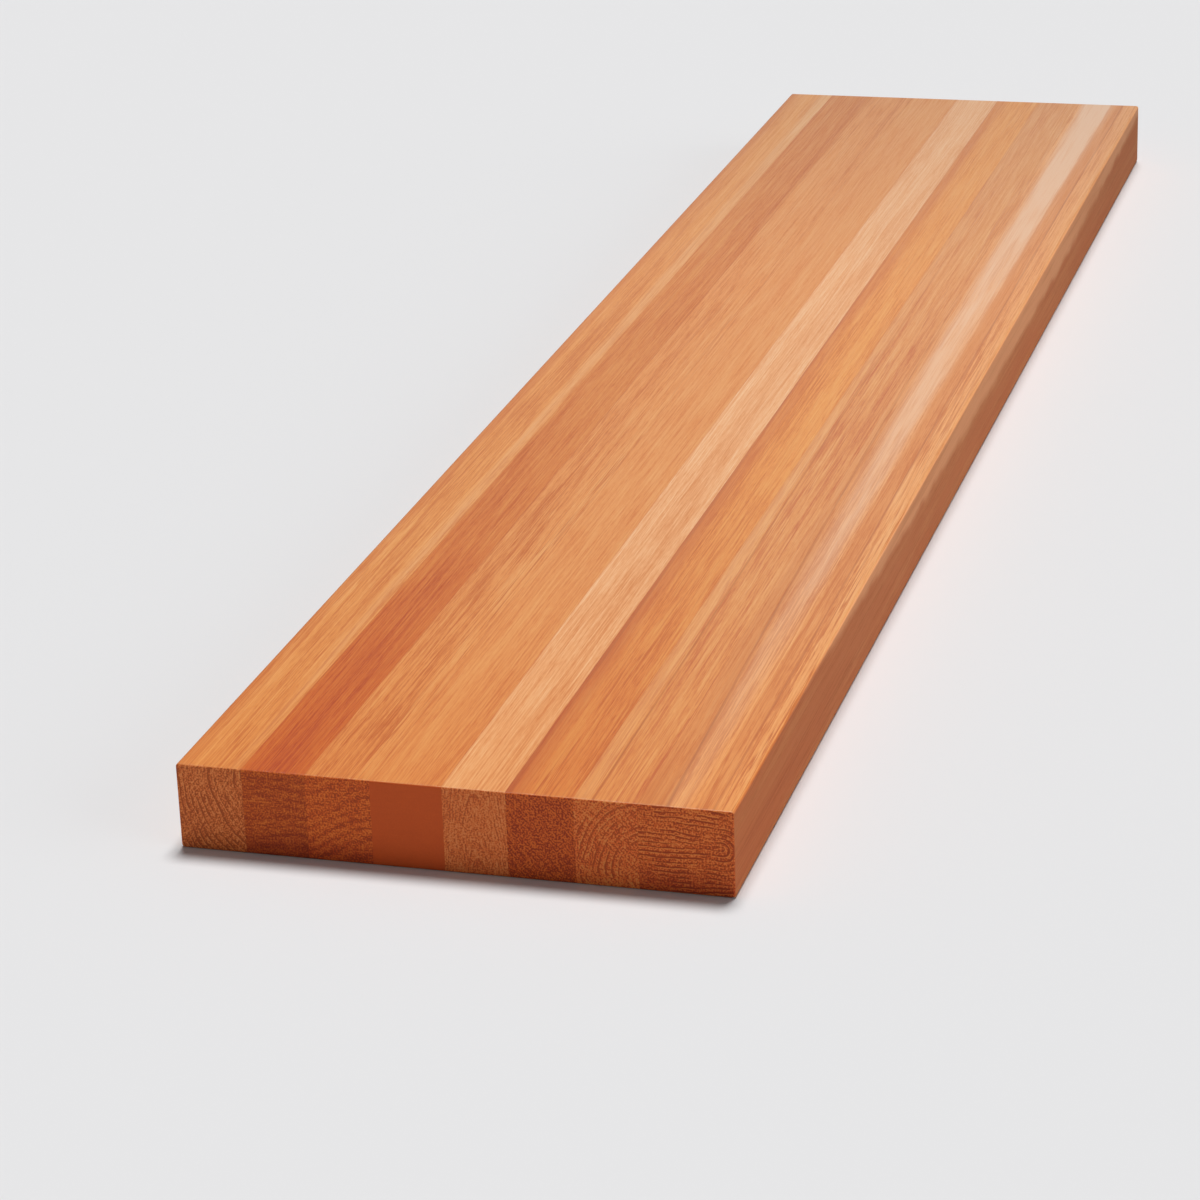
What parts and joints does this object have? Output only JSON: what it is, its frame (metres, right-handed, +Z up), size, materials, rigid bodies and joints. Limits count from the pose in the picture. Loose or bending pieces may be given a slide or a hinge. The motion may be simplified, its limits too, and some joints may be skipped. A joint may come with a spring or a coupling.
{
  "type": "edge-laminated stair tread",
  "caption": "Thick rectangular hardwood stair tread made of full-length staves glued side by side, with lightly rounded edges. It forms one step of a stair.",
  "frame": {"origin": "middle of the underside", "axes": "+X along the grain, from one sawn end to the other; +Y from the front edge to the back edge; +Z up, out of the walking surface"},
  "size_m": [1.2, 0.25, 0.04],
  "materials": {
    "back_edge_stave": "planed and sanded reddish hardwood, light tan, grain along the stave",
    "second_stave": "planed and sanded reddish hardwood, dark burnt orange, grain along the stave",
    "third_stave": "planed and sanded reddish hardwood, tan with fine dark lines, grain along the stave",
    "fourth_stave": "planed and sanded reddish hardwood, plain orange tan, grain along the stave",
    "fifth_stave": "planed and sanded reddish hardwood, pale peach, grain along the stave",
    "sixth_stave": "planed and sanded reddish hardwood, orange, grain along the stave",
    "seventh_stave": "planed and sanded reddish hardwood, orange tan, grain along the stave",
    "front_edge_stave": "planed and sanded reddish hardwood, pale middle between redder figured bands, grain along the stave"
  },
  "bodies": {
    "root": {"back_edge_stave": "back_edge_stave", "second_stave": "second_stave", "third_stave": "third_stave", "fourth_stave": "fourth_stave", "fifth_stave": "fifth_stave", "sixth_stave": "sixth_stave", "seventh_stave": "seventh_stave", "front_edge_stave": "front_edge_stave"}
  },
  "joints": []
}
